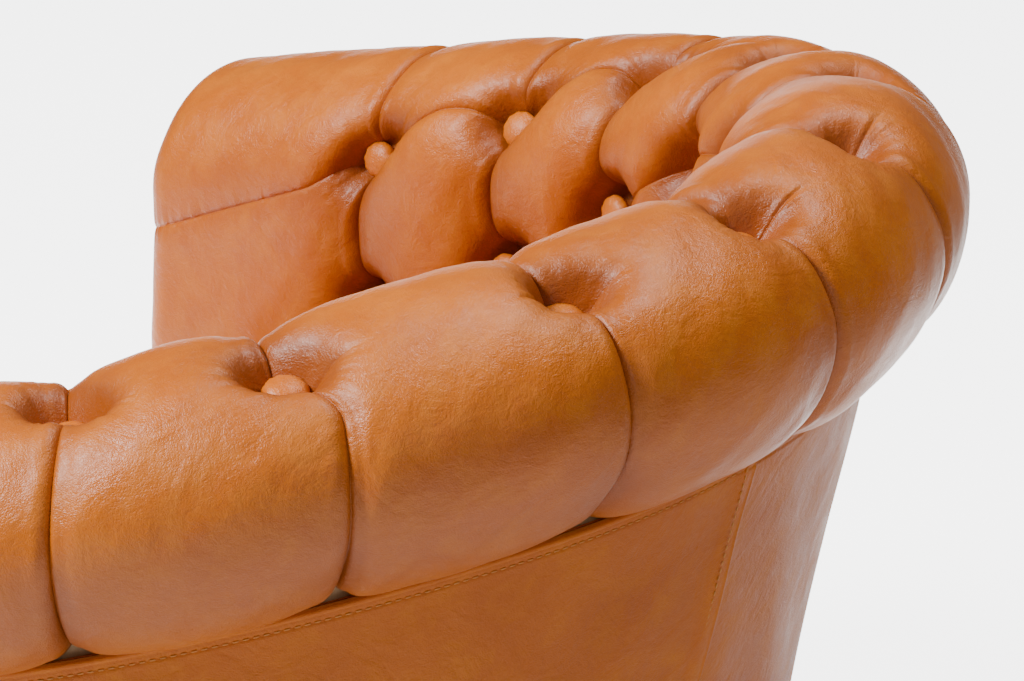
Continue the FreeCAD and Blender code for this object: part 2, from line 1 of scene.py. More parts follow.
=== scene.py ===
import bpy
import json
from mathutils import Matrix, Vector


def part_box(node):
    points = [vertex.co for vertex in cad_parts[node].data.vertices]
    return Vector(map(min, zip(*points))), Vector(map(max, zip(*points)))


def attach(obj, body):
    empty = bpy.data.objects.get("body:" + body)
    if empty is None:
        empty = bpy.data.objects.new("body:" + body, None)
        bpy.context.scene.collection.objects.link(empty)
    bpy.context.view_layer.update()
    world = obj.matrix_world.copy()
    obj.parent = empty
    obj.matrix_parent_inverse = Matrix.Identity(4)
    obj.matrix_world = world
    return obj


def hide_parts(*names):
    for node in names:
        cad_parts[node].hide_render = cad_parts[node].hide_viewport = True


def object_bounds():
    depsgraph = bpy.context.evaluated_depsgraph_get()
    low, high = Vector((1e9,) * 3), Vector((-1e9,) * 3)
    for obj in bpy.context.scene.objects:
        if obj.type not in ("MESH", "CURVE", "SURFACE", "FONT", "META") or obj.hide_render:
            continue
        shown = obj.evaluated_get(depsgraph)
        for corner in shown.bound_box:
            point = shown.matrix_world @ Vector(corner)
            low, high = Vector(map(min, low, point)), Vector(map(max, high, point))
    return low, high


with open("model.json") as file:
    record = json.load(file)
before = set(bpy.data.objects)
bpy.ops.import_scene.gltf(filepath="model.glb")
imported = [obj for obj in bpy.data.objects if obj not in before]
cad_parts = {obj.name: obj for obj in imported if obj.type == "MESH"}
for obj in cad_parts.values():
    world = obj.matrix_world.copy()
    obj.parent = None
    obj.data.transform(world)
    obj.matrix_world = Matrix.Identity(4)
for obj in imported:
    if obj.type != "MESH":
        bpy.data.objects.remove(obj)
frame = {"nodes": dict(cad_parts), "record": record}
CAD_BOX = [list(map(float, corner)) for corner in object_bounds()]

import json
import math
import bpy
import numpy as np
from mathutils import Vector

# Tub armchair: the tufted leather, the outside panels, the arm fronts, the cushion and the light.
# Lengths are in metres. A point of the tub is given by d, its distance along the roll's centre
# line from the back's middle (+ toward +X), and s, its distance round the section from the crest
# of the roll (+ inward and down the inside, - outward).

# ---------------------------------------------------------------- the chair's plan, from its box
ROLL = 0.080
HALF_WIDTH = (CAD_BOX[1][0] - CAD_BOX[0][0]) / 2
CREST = CAD_BOX[1][2]
PLAN = HALF_WIDTH - ROLL
Y_ARC = CAD_BOX[1][1] - ROLL - PLAN
ARC = PLAN * math.pi / 2
FRONT_PAD = (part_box("arm_front_right")[1][1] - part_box("arm_front_right")[0][1]) + 0.0004
FRONT_END = ARC + (Y_ARC - CAD_BOX[0][1])
ARM_END = FRONT_END - FRONT_PAD
FRONT_ROUND = 0.026
SLOPE, SLOPE_START, SLOPE_BLEND = 0.27, 0.220, 0.075
BACK_RAKE, INNER_RAKE, ARM_RAKE = 0.25, 0.15, 0.05
SEAT_INSET, PAD_TOP = 0.082, 0.042
PANEL_OUT, PANEL_TOP, PANEL_BASE = 0.024, 0.078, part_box("outside_panel_right")[0][2]
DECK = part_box("seat_deck")[1][2]
SEAT_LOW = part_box("cushion_bottom")[0][2]
SEAT_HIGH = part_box("cushion_top")[1][2]
BUTTON_D = (0.0, 0.132, 0.286, 0.397, 0.511, 0.626, 0.742)
BUTTON_LEAN = (-12, -12, -12, 2, 31, 58, 75)
ROW_GAP = 0.114
MIDDLE_BUTTON = len(BUTTON_D) - 1
BUTTON_SEAT = 0.044                  # a button's distance from the roll's centre line
BUTTON_SEAT_FRONT = 0.053            # the two of the top row nearest each front sit less deep
BUTTON_SEAT_CORNER = 0.004           # added for the third button from the middle
BUTTON_RADIUS = 0.012
UNDER = -0.262                       # the section starts here, tucked under the roll
WALL_STEP = 0.002                    # the inside pad starts this far behind the roll's edge
WALL_BLEND = 0.012                   # half the height over which roll and inside pad join


def smooth(x):
    x = np.clip(x, 0, 1)
    return x * x * (3 - 2 * x)


def plan(d):
    """x, y and the outward direction of the roll's centre line."""
    turn = np.clip(d / PLAN, -math.pi / 2, math.pi / 2)
    beyond = np.maximum(np.abs(d) - ARC, 0)
    return PLAN * np.sin(turn), Y_ARC + PLAN * np.cos(turn) - beyond, np.sin(turn), np.cos(turn)


def centre_height(d):
    """Height of the roll's centre line: level at the back, then sloping down the arms."""
    a = np.abs(d)
    soft = np.logaddexp(0, (a - SLOPE_START) / SLOPE_BLEND)
    soft = soft - np.logaddexp(0, -SLOPE_START / SLOPE_BLEND)
    return CREST - ROLL - SLOPE * SLOPE_BLEND * soft


def rake(d, at_back):
    """Slope of a side at d, from at_back behind the seat to the arms' own."""
    turn = np.clip(np.abs(d) / PLAN, 0, math.pi / 2)
    return ARM_RAKE + (at_back - ARM_RAKE) * np.cos(turn) ** 2


def section(d, s, lift):
    """Outward offset and height of the padding's surface, raised by lift along its normal."""
    high = centre_height(d)
    bend = s / ROLL
    on_roll = np.stack([-(ROLL + lift) * np.sin(bend), high + (ROLL + lift) * np.cos(bend)], -1)
    down = s - ROLL * math.pi / 2
    z = high - down
    out = -SEAT_INSET - rake(d, INNER_RAKE) * np.maximum(down - PAD_TOP, 0) + WALL_STEP - lift
    on_wall = np.stack([out, z], -1)
    mix = smooth((down + WALL_BLEND) / (2 * WALL_BLEND))[..., None]
    return on_roll * (1 - mix) + on_wall * mix


def place(d, offset_height):
    """Points in the room from outward offsets and heights at d."""
    x, y, ox, oy = plan(d)
    o = offset_height[..., 0]
    return np.stack([x + ox * o, y + oy * o, offset_height[..., 1]], -1)


BUTTON_KNOTS = np.array([-v for v in reversed(BUTTON_D[1:])] + list(BUTTON_D))


def row_start(d):
    """Where the top row of buttons lies round the section."""
    lean = np.interp(np.abs(d), BUTTON_D, np.radians(BUTTON_LEAN))
    return ROLL * lean


def wavy(seed, a, b):
    """Smooth repeatable noise of two coordinates, about -1 to 1."""
    rng = np.random.default_rng(seed)
    total = 0
    for i in range(5):
        fa, fb, pa = rng.uniform(-1, 1), rng.uniform(-1, 1), rng.uniform(0, 6.28)
        total = total + np.sin(a * fa * (1 + i * 0.6) + b * fb * (1 + i * 0.6) + pa)
    return total / 2.6


def finish_mesh(name, verts, faces):
    """A smooth-shaded piece from its points and faces."""
    mesh = bpy.data.meshes.new(name)
    mesh.from_pydata([tuple(v) for v in verts], [], faces)
    mesh.update()
    obj = bpy.data.objects.new(name, mesh)
    bpy.context.collection.objects.link(obj)
    for poly in mesh.polygons:
        poly.use_smooth = True
    return obj


def grid_faces(rows, cols, flip=False, offset=0, wrap=False):
    """Four-sided faces between rows of points; wrap joins each row's end to its start."""
    faces = []
    for i in range(rows - 1):
        for j in range(cols if wrap else cols - 1):
            k = (j + 1) % cols
            a, b = offset + i * cols + j, offset + i * cols + k
            c, e = offset + (i + 1) * cols + k, offset + (i + 1) * cols + j
            faces.append((a, e, c, b) if flip else (a, b, c, e))
    return faces


def depth_attribute(obj, values):
    """Each point's lift, which the leather's colour reads to darken its creases and dimples with
    painted shade.
    """
    layer = obj.data.attributes.new("depth", "FLOAT", "POINT")
    layer.data.foreach_set("value", np.asarray(values, dtype=np.float32).ravel())


# ---------------------------------------------------------------- the tufting
PLEAT_LINE = 0.0018                  # reach of a pleat's sharp line
PLEAT_REACH = 0.013                  # reach of the hollow beside it
PLEAT_POWER = 1.35
FOLD_OFFSET, FOLD_WIDTH, FOLD_HEIGHT = 0.007, 0.0045, 0.0011
ARCH_FADE = (0.42, 0.05)             # from here forward the arched pleats run right across
ROW_ONE = (0.0034, 0.0034, 0.011)    # an arched pleat's line, hollow and reach
ROW_BELOW = (0.0030, 0.0060, 0.014)
ROW_BELOW_SHARE = ((1, 0.8), (2, 0.55))
DIMPLE_DEEP = (0.0290, 0.0280, 0.0260)
DIMPLE_WIDE, DIMPLE_POWER = 0.0105, 2.1
THIRD_ROW_LAST = 4                   # the third row's outermost button, counted from the middle
WRINKLE_HEIGHT, WRINKLE_AT, WRINKLE_WIDTH = 0.00055, 0.024, 0.013
GATHER_HEIGHT, GATHER_REACH = 0.0006, 0.012
OUTER_SINK = 0.0045                 # the outer side of the roll is drawn in by this
SLOW_WAVE, QUICK_WAVE = 0.0016, 0.0005


def front_inset(dist):
    """How far the padding rounds over at the front of an arm."""
    ahead = np.clip((np.abs(dist) - FRONT_END + FRONT_ROUND) / FRONT_ROUND, 0, 1)
    return FRONT_ROUND * (1 - np.sqrt(1 - 0.995 * ahead ** 2))


def crease(x, narrow, broad, reach=PLEAT_REACH):
    """A pleat: a sharp line in the middle of a soft hollow."""
    line = -narrow * np.exp(-np.abs(x) / PLEAT_LINE)
    return line - broad * np.exp(-(np.abs(x) / reach) ** PLEAT_POWER)


def tufting(dist, s, r):
    """How far the leather stands off its plain section, at grid distance dist and row position r."""
    nearest = np.abs(dist[..., None] - BUTTON_KNOTS).argmin(-1)
    knot = BUTTON_KNOTS[nearest]
    index = np.abs(nearest - MIDDLE_BUTTON)
    out = -ROLL * np.sin(np.clip(s / ROLL, -2.7, math.pi / 2))
    stretch = np.where(np.abs(dist) < ARC, 1 + out / PLAN, 1.0)
    x = (dist - knot) * stretch
    beyond_last = np.abs(dist) > BUTTON_D[-1]
    # pleats across the roll and down the inside
    deep_end = smooth((-s - 0.12) / 0.08)
    narrow = np.where(r < 0, 0.0034 + 0.0025 * deep_end, 0.0042)
    broad = np.where(r < 0, 0.0028 + 0.0040 * deep_end, 0.0055)
    low = smooth((r - 2 * ROW_GAP + 0.02) / 0.06)
    lift = crease(x, narrow * (1 - 0.55 * low), broad * (1 - 0.45 * low))
    fold = np.sign(x) * np.exp(-((np.abs(x) - FOLD_OFFSET) / FOLD_WIDTH) ** 2)
    lift = lift + FOLD_HEIGHT * fold * np.where(dist > 0, 1, -1)
    # arched pleats between neighbouring buttons of a row
    span = np.abs(dist)
    edge = np.minimum(np.abs(x), 0.07)
    front_fade = smooth((span - ARCH_FADE[0]) / ARCH_FADE[1])
    middle = np.exp(-(edge / 0.024) ** 2)
    strength = np.maximum(front_fade, 0.85 * middle)
    seam_line = np.where(beyond_last, 0.55, 1.0)
    lift = lift + strength * seam_line * crease(r, *ROW_ONE)
    there = np.where(beyond_last, 0.0, 1.0)
    fade = 1 - smooth(edge / 0.07) * 0.35
    for row, share in ROW_BELOW_SHARE:
        lift = lift + share * fade * there * crease(r - row * ROW_GAP, *ROW_BELOW)
    # gathers along the sewn line in front of the last button
    gather = np.exp(-(r / GATHER_REACH) ** 2) * np.where(beyond_last, 1.0, 0.0)
    lift = lift + GATHER_HEIGHT * gather * np.sin(span * 720 + 2.2 * np.sin(span * 95))
    # dimples and the wrinkles that run out of them
    for row, deep in enumerate(DIMPLE_DEEP):
        dy = r - row * ROW_GAP
        rho = np.sqrt(x ** 2 + dy ** 2)
        angle = np.arctan2(dy, x)
        exists = np.where((row == 2) & (index > THIRD_ROW_LAST), 0.0, 1.0)
        narrow_dent = np.where((row == 0) & (index < 2), 0.82, 1.0)
        beyond_rim = np.maximum(rho - BUTTON_RADIUS, 0)
        hole = 1 / (1 + (beyond_rim / (DIMPLE_WIDE * narrow_dent)) ** DIMPLE_POWER)
        calm = 1 - 0.65 * exists * np.exp(-(rho / BUTTON_RADIUS) ** 2)
        lift = lift * calm - exists * deep * hole
        phase = nearest * 1.7 + row * 0.9
        warp = angle + 0.25 * np.sin(3 * angle + phase)
        rays = (np.cos(13 * warp + phase) + 0.7 * np.cos(21 * warp + 2.1 * phase)
                + 0.4 * np.cos(34 * angle - phase))
        window = np.exp(-((rho - WRINKLE_AT) / WRINKLE_WIDTH) ** 2)
        lift = lift + exists * WRINKLE_HEIGHT * rays * window
    # slow unevenness of hand-stuffed padding
    lift = lift - OUTER_SINK * smooth((-s - 0.10) / 0.07)
    lift = lift + SLOW_WAVE * wavy(3, dist * 26, s * 30) + QUICK_WAVE * wavy(8, dist * 90, s * 70)
    puff = 0.0016 * smooth(np.abs(x) / 0.05)
    return lift + puff - front_inset(dist)


def clustered(count, both=True, power=1.7):
    """0 to 1 in count steps, closer together at 0, or at both ends."""
    q = np.linspace(0, 1, count + 1)
    if not both:
        return q ** power
    return np.where(q < 0.5, 0.5 * (2 * q) ** power, 1 - 0.5 * (2 - 2 * q) ** power)


COLUMNS = 44                         # between two pleats
FRONT_COLUMNS = 70                   # between the last pleat and the front
UNDER_ROWS, FIRST_ROWS, SECOND_ROWS, LOW_ROWS = 78, 34, 30, 36


def section_end(d):
    """Where the inside padding ends, just above the deck."""
    return ROLL * math.pi / 2 + centre_height(d) - DECK - 0.004


def cover_points(dist):
    """Rows by columns of surface points for grid distances dist, with their lifts.

    The rows bend so that the arched pleats between two buttons follow the grid's own lines.
    """
    top = row_start(dist)
    end = section_end(dist)
    outer = UNDER - top
    across = np.ones_like(dist)[None]
    r = np.concatenate([
        outer[None] * clustered(UNDER_ROWS, False, 1.5)[::-1][:-1, None],
        clustered(FIRST_ROWS)[:, None] * ROW_GAP * across,
        ROW_GAP + clustered(SECOND_ROWS)[1:, None] * ROW_GAP * across,
        2 * ROW_GAP + clustered(LOW_ROWS, False, 1.3)[1:, None] * (end - top - 2 * ROW_GAP)[None]])
    dist = np.broadcast_to(dist, r.shape)
    nearest = np.abs(dist[..., None] - BUTTON_KNOTS).argmin(-1)
    x = dist - BUTTON_KNOTS[nearest]
    span = np.abs(dist)
    beyond_last = span > BUTTON_D[-1]
    pair = np.clip(np.abs(x) / 0.06, 0, 1)
    rise = np.where(span < 0.36, 0.012, 0.024)
    arch = rise * np.sin(pair * math.pi / 2) ** 0.8
    ahead = np.clip((span - BUTTON_D[-1]) / (FRONT_END - BUTTON_D[-1]), 0, 1)
    arch = np.where(beyond_last, -(0.010 + 0.036 * ahead) * smooth(ahead * 4), arch)
    window = np.exp(-(r / 0.055) ** 2)
    s = row_start(dist) + r - arch * window
    bow = 0.010 * np.sin(np.clip(r / ROW_GAP, 0, 1) * math.pi)
    bow = bow - 0.020 * smooth(-r / 0.055) * np.exp(-((span - BUTTON_D[2]) / 0.045) ** 2)
    bow = bow * (1 - smooth(np.abs(x) / 0.055)) * np.sign(dist + 1e-9)
    lift = tufting(dist, s, r)
    points = place(dist + bow, section(dist + bow, s, lift))
    return points, lift


def cover(name, knots, end_right=None, end_left=None):
    """One sewn field of the roll and the inside, between two pleats."""
    columns = []
    if end_left is not None:
        columns.append(knots[0] + (end_left - knots[0]) * clustered(FRONT_COLUMNS)[::-1][:-1])
    for a, b in zip(knots, knots[1:]):
        columns.append((a + (b - a) * clustered(COLUMNS))[:-1])
    columns.append(np.array([knots[-1]]))
    if end_right is not None:
        columns.append(knots[-1] + (end_right - knots[-1]) * clustered(FRONT_COLUMNS)[1:])
    dist = np.concatenate(columns)
    points, lift = cover_points(dist)
    rows, cols = lift.shape
    obj = finish_mesh(name, points.reshape(-1, 3), grid_faces(rows, cols))
    depth_attribute(obj, lift)
    return obj


COVERS = [
    ("cover_arm_left", [-BUTTON_D[6], -BUTTON_D[5], -BUTTON_D[4], -BUTTON_D[3]], None, -FRONT_END,
     ("roll_arm_left", "inside_pad_arm_left")),
    ("cover_corner_left", [-BUTTON_D[3], -BUTTON_D[2], -BUTTON_D[1]], None, None,
     ("roll_corner_left", "inside_pad_corner_left")),
    ("cover_back", [-BUTTON_D[1], 0.0, BUTTON_D[1]], None, None, ("roll_back", "inside_pad_back")),
    ("cover_corner_right", [BUTTON_D[1], BUTTON_D[2], BUTTON_D[3]], None, None,
     ("roll_corner_right", "inside_pad_corner_right")),
    ("cover_arm_right", [BUTTON_D[3], BUTTON_D[4], BUTTON_D[5], BUTTON_D[6]], FRONT_END, None,
     ("roll_arm_right", "inside_pad_arm_right")),
]
BACK_FILL, FRONT_FILL = 0.85, 0.9
padding = []
for name, knots, end_right, end_left, nodes in COVERS:
    obj = cover(name, knots, end_right, end_left)
    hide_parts(*nodes)
    padding.append((obj, BACK_FILL))


# ---------------------------------------------------------------- arm fronts
def arm_front(name, side):
    """The padded front of an arm: its section rounded over, then a flat face."""
    rings = []
    steps = [(0.0, 0.0)]
    for a in np.linspace(0, math.pi / 2, 12):
        steps.append((FRONT_PAD - FRONT_ROUND * (1 - math.sin(a)), FRONT_ROUND * (1 - math.cos(a))))
    for ahead, inset in steps:
        d = side * (ARM_END + ahead)
        low = ROLL * math.pi / 2 + centre_height(d) - PANEL_BASE
        s = np.concatenate([np.linspace(-2.80 * ROLL, 0.20, 90), np.linspace(0.20, low, 61)[1:]])
        loop = section(np.full(len(s), d), s, -inset - 0.0022 * (s < low - 0.12))
        base = np.stack([np.linspace(loop[-1, 0], 0.010, 14)[1:],
                         np.full(13, PANEL_BASE)], -1)
        top = centre_height(d) - PANEL_TOP
        z = np.linspace(PANEL_BASE, top + 0.004, 24)
        wall = PANEL_OUT - inset - ARM_RAKE * np.maximum(top - z, 0)
        loop = np.concatenate([loop, base, np.stack([wall, z], -1)])
        rings.append(place(np.full(len(loop), d), loop))
    last = loop
    d = side * FRONT_END
    middle_z = np.minimum(last[:, 1], centre_height(d))
    middle_o = np.where(last[:, 1] > centre_height(d) - 0.03, -0.004, -0.030)
    for f in np.linspace(0, 1, 12)[1:]:
        flat = last * (1 - f) + np.stack([middle_o, middle_z], -1) * f
        puffed = d + side * 0.0030 * math.sin(f * math.pi / 2)
        rings.append(place(np.full(len(flat), puffed), flat))
    verts = np.concatenate(rings)
    obj = finish_mesh(name, verts, grid_faces(len(rings), len(last), flip=side > 0, wrap=True))
    depth_attribute(obj, np.full(len(verts), 0.001))
    return obj


for name, side in (("front_pad_right", 1), ("front_pad_left", -1)):
    obj = arm_front(name, side)
    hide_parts("arm_front_right" if side > 0 else "arm_front_left")
    padding.append((obj, FRONT_FILL))


# ---------------------------------------------------------------- outside panels
LIP = 0.0050                         # height of the turned-over top edge
LIP_OUT = 0.0026
STITCH_DROP = 0.0095                 # the stitches' distance below the top edge
STITCH_SPACING = 0.0052
STITCH_STEP = 0.002                  # two points this far apart give a stitch its direction
EDGE_UP = 0.006                      # the panel reaches this far above its CAD edge
PANEL_SKIN = -0.0022                 # its inner face
BACK_SEAM = 0.0095                   # the stitched back seam's distance from the middle


def panel_point(d, below, proud):
    """A point on an outside panel: below its top edge, standing proud of its plain face."""
    top = centre_height(d) - PANEL_TOP + EDGE_UP
    z = top - below
    out = PANEL_OUT - rake(d, BACK_RAKE) * np.maximum(below - EDGE_UP, 0) + proud
    return place(d, np.stack([out, z], -1))


def panel(name, side):
    """One outside panel, from the back's middle to the arm's front, with its turned-over edge."""
    dist = np.concatenate([np.linspace(0.0004, ARC, 150), np.linspace(ARC, ARM_END, 50)[1:]])
    height = centre_height(dist) - PANEL_TOP + EDGE_UP - PANEL_BASE
    near = np.concatenate([np.linspace(0, 0.020, 24), [0.03, 0.045]])
    share = np.linspace(0, 1, 40)[1:]
    below = np.concatenate([np.broadcast_to(near[:, None], (len(near), len(dist))),
                            near[-1] + share[:, None] * (height - near[-1])[None]])
    dd = np.broadcast_to(dist, below.shape)
    lip = LIP_OUT * np.sqrt(np.clip(1 - ((below - LIP / 2) / (LIP / 2)) ** 2, 0, 1))
    groove = -0.0007 * np.exp(-((below - STITCH_DROP) / 0.0010) ** 2)
    slack = 0.0012 * wavy(21, dd * 22, below * 16) * smooth((below - 0.012) / 0.05)
    lap = 0.0014 * np.exp(-np.maximum(dd - 0.012, 0) / 0.0015) if side > 0 else 0.0
    proud = lip + groove + slack + lap
    outer = panel_point(side * dd, below, proud)
    inner = panel_point(side * dd, below, PANEL_SKIN + 0 * proud)
    rows, cols = below.shape
    verts = np.concatenate([outer.reshape(-1, 3), inner.reshape(-1, 3)])
    faces = grid_faces(rows, cols, flip=side > 0) + grid_faces(rows, cols, side < 0, rows * cols)
    edge = list(range(cols)) + [i * cols + cols - 1 for i in range(1, rows)]
    edge += [(rows - 1) * cols + j for j in range(cols - 2, -1, -1)]
    edge += [i * cols for i in range(rows - 2, 0, -1)]
    n = rows * cols
    for a, b in zip(edge, edge[1:] + edge[:1]):
        faces.append((b, a, a + n, b + n) if side > 0 else (a, b, b + n, a + n))
    obj = finish_mesh(name, verts, faces)
    # painted shade: the proud offsets darken the leather where the panel sinks, along the stitch groove
    # and in the slack's hollows
    depth_attribute(obj, np.concatenate([proud.ravel(), proud.ravel()]))
    return obj


def stitch_row(name, places, thick=0.00045, long=0.0036, sides=6):
    """Small rounded stitches, one at each (point, direction, normal)."""
    verts, faces = [], []
    profile = ((-0.5, 0.25), (-0.36, 0.9), (0.0, 1.1), (0.36, 0.9), (0.5, 0.25))
    end = (len(profile) - 1) * sides
    for point, along, normal in places:
        across = along.cross(normal).normalized()
        start = len(verts)
        for share, size in profile:
            for k in range(sides):
                a = k * math.pi / 3
                verts.append(point + along * (share * long) + (across * math.cos(a) * 1.3
                             + normal * math.sin(a)) * (thick * size))
        for i in range(len(profile) - 1):
            for k in range(sides):
                a, b = start + i * sides + k, start + i * sides + (k + 1) % sides
                faces.append((a, b, b + sides, a + sides))
        faces.append(tuple(start + k for k in range(sides - 1, -1, -1)))
        faces.append(tuple(start + end + k for k in range(sides)))
    return finish_mesh(name, verts, faces)


def panel_vector(d, below, proud):
    return Vector(panel_point(np.array(d), np.array(below), np.array(proud)))


def panel_stitches(side):
    """Places along an outside panel's top edge, and for the right one down the back seam too."""
    places = []
    first = 0.014 if side > 0 else 0.17
    for d in np.arange(first, ARM_END - 0.01, STITCH_SPACING):
        a = panel_vector(side * d, STITCH_DROP, -0.0003)
        b = panel_vector(side * (d + STITCH_STEP), STITCH_DROP, -0.0003)
        _, _, ox, oy = plan(np.array(side * d))
        places.append((a, (b - a).normalized(), Vector((float(ox), float(oy), 0))))
    if side > 0:
        for below in np.arange(STITCH_DROP, 0.40, STITCH_SPACING):
            a = panel_vector(BACK_SEAM, below, 0.0015)
            b = panel_vector(BACK_SEAM, below + STITCH_STEP, 0.0015)
            places.append((a, (b - a).normalized(), Vector((0, 1, 0))))
    return places


panels = []
stitches = []
for side, word in ((1, "right"), (-1, "left")):
    obj = panel("panel_" + word, side)
    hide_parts("outside_panel_" + word)
    panels.append(obj)
    stitches.append(stitch_row("panel_stitches_" + word, panel_stitches(side)))


# ---------------------------------------------------------------- buttons
BUTTON_IN = 0.024                    # how deep a button of the inside pads sits in them
BUTTON_PROFILE = ((0.0124, -0.0005), (0.0128, 0.0016), (0.0124, 0.0036), (0.0110, 0.0056),
                  (0.0088, 0.0071), (0.0060, 0.0081), (0.0030, 0.0086))
BUTTON_TOP = 0.0088
RIM_WRINKLE = 0.00022


def button_frames(row):
    """Centre, facing direction and index of each button of a row."""
    found = []
    reach = MIDDLE_BUTTON if row < 2 else THIRD_ROW_LAST
    for index in range(-reach, reach + 1):
        d = BUTTON_D[abs(index)] * (1 if index >= 0 else -1)
        along = ROLL * math.radians(BUTTON_LEAN[abs(index)]) + row * ROW_GAP
        lean = along / ROLL
        x, y, ox, oy = (float(v) for v in plan(np.array(d)))
        high = float(centre_height(np.array(d)))
        if lean < math.pi / 2:
            seat = BUTTON_SEAT_FRONT if row == 0 and abs(index) > 4 else BUTTON_SEAT
            seat = seat + (BUTTON_SEAT_CORNER if abs(index) == 2 else 0)
            o, z = -seat * math.sin(lean), high + seat * math.cos(lean)
            face = (-math.sin(lean), math.cos(lean))
        else:
            z = high - (along - ROLL * math.pi / 2)
            lean_in = float(rake(np.array(d), INNER_RAKE))
            o = -SEAT_INSET - lean_in * max(high - PAD_TOP - z, 0) + BUTTON_IN
            face = (-1.0, lean_in)
        normal = Vector((ox * face[0], oy * face[0], face[1])).normalized()
        found.append((Vector((x + ox * o, y + oy * o, z)), normal, index))
    return found


def button_row(name, row, around=40):
    """The leather-covered buttons of one row, with slightly gathered rims."""
    verts, faces = [], []
    for centre, normal, index in button_frames(row):
        side = normal.orthogonal().normalized()
        other = normal.cross(side)
        start = len(verts)
        for radius, rise in BUTTON_PROFILE:
            for k in range(around):
                a = k * 2 * math.pi / around
                rim = RIM_WRINKLE * math.sin(11 * a + index) * smooth((radius - 0.008) / 0.004)
                verts.append(centre + (side * math.cos(a) + other * math.sin(a)) * (radius + float(rim))
                             + normal * (rise + float(rim)))
        verts.append(centre + normal * BUTTON_TOP)
        for i in range(len(BUTTON_PROFILE) - 1):
            for k in range(around):
                a, b = start + i * around + k, start + i * around + (k + 1) % around
                faces.append((a, b, b + around, a + around))
        last = start + (len(BUTTON_PROFILE) - 1) * around
        for k in range(around):
            faces.append((last + k, last + (k + 1) % around, len(verts) - 1))
        faces.append(tuple(start + k for k in range(around - 1, -1, -1)))
    obj = finish_mesh(name, verts, faces)
    depth_attribute(obj, np.full(len(verts), 0.0015))
    return obj


BUTTON_ROWS = (("button_caps_top", "buttons_top_row"),
               ("button_caps_second", "buttons_second_row"),
               ("button_caps_third", "buttons_third_row"))
buttons = []
for row, (name, node) in enumerate(BUTTON_ROWS):
    obj = button_row(name, row)
    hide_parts(node)
    buttons.append(obj)


# ---------------------------------------------------------------- seat cushion and front border
SEAT_HALF = (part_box("cushion_top")[1][0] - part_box("cushion_top")[0][0]) / 2
SEAT_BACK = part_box("cushion_top")[1][1]
SEAT_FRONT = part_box("cushion_top")[0][1]
SEAT_CORNER = 0.045
SEAT_SIDE_INSET = 0.010              # the cushion's side lies this far inside its box
WELT_INSET, WELT_DROP, WELT_RADIUS = 0.0075, 0.0105, 0.0042
BORDER_CORNER = 0.014


def seat_outline(inset):
    """The cushion's D-shaped plan, with rounded front corners."""
    half, deep = SEAT_HALF - inset, SEAT_BACK - Y_ARC - inset
    front = SEAT_FRONT + inset
    corner = SEAT_CORNER
    points = [(half * math.cos(a), Y_ARC + deep * math.sin(a)) for a in np.linspace(0, math.pi, 110)]
    points += [(-half, y) for y in np.linspace(Y_ARC, front + corner, 24)[1:]]
    points += [(-half + corner - corner * math.cos(a), front + corner - corner * math.sin(a))
               for a in np.linspace(0, math.pi / 2, 10)[1:]]
    points += [(x, front) for x in np.linspace(-half + corner, half - corner, 44)[1:]]
    points += [(half - corner + corner * math.sin(a), front + corner - corner * math.cos(a))
               for a in np.linspace(0, math.pi / 2, 10)[1:]]
    points += [(half, y) for y in np.linspace(front + corner, Y_ARC, 24)[1:-1]]
    return np.array(points)


def seat_cushion():
    """The loose cushion: an upright band, and a crowned face above and below it."""
    rings = []
    depth = []
    mid = (SEAT_LOW + SEAT_HIGH) / 2
    half_high = (SEAT_HIGH - SEAT_LOW) / 2
    centre = np.array([0.0, (SEAT_FRONT + SEAT_BACK) / 2])
    band = [(0.000, -0.80), (0.004, -0.6), (0.006, -0.3), (0.007, 0.0),
            (0.006, 0.3), (0.004, 0.6), (0.000, 0.80)]
    lid = np.linspace(0, 1, 26)[1:-1]

    def ring(scale, out, z, deep):
        grown = seat_outline(SEAT_SIDE_INSET - out)
        flat = centre + (grown - centre) * scale
        n = wavy(31, flat[:, 0] * 24, flat[:, 1] * 24)
        rings.append(np.column_stack([flat, z + 0.0018 * n * (1 if z > mid else 0.2)]))
        depth.append(np.full(len(flat), deep))

    for f in lid[::-1]:
        ring(1 - f * 0.985, 0.0, SEAT_LOW + 0.0135 * math.exp(-f / 0.05), 0.001)
    for out, share in band:
        # painted shade: the band's top and bottom rings, beside the welts, get a lift of -0.003 that
        # darkens their leather
        ring(1.0, out, mid + share * half_high * 0.86, 0.0 if abs(share) < 0.7 else -0.003)
    for f in lid:
        crown = 0.004 * math.sin(min(f * 1.6, 1) * math.pi / 2) - 0.0150 * math.exp(-f / 0.05)
        ring(1 - f * 0.985, 0.0, SEAT_HIGH + crown, 0.001)
    verts = np.concatenate(rings)
    count = len(rings[0])
    faces = grid_faces(len(rings), count, wrap=True)
    faces.append(tuple(range(count - 1, -1, -1)))
    faces.append(tuple(range(len(verts) - count, len(verts))))
    obj = finish_mesh("seat_cushion", verts, faces)
    depth_attribute(obj, np.concatenate(depth))
    return obj


def tube(name, path, radius, sides=10):
    """A closed round cord of leather along a closed path."""
    verts = []
    count = len(path)
    up = Vector((0, 0, 1))
    for i, point in enumerate(path):
        ahead = (Vector(path[(i + 1) % count]) - Vector(path[i - 1])).normalized()
        across = ahead.cross(up).normalized()
        for k in range(sides):
            a = k * 2 * math.pi / sides
            verts.append(Vector(point) + (across * math.cos(a) + up * math.sin(a)) * radius)
    faces = []
    for i in range(count):
        for k in range(sides):
            a, b = i * sides + k, i * sides + (k + 1) % sides
            c, e = (i + 1) % count * sides + (k + 1) % sides, (i + 1) % count * sides + k
            faces.append((a, e, c, b))
    obj = finish_mesh(name, verts, faces)
    depth_attribute(obj, np.full(len(verts), 0.001))
    return obj


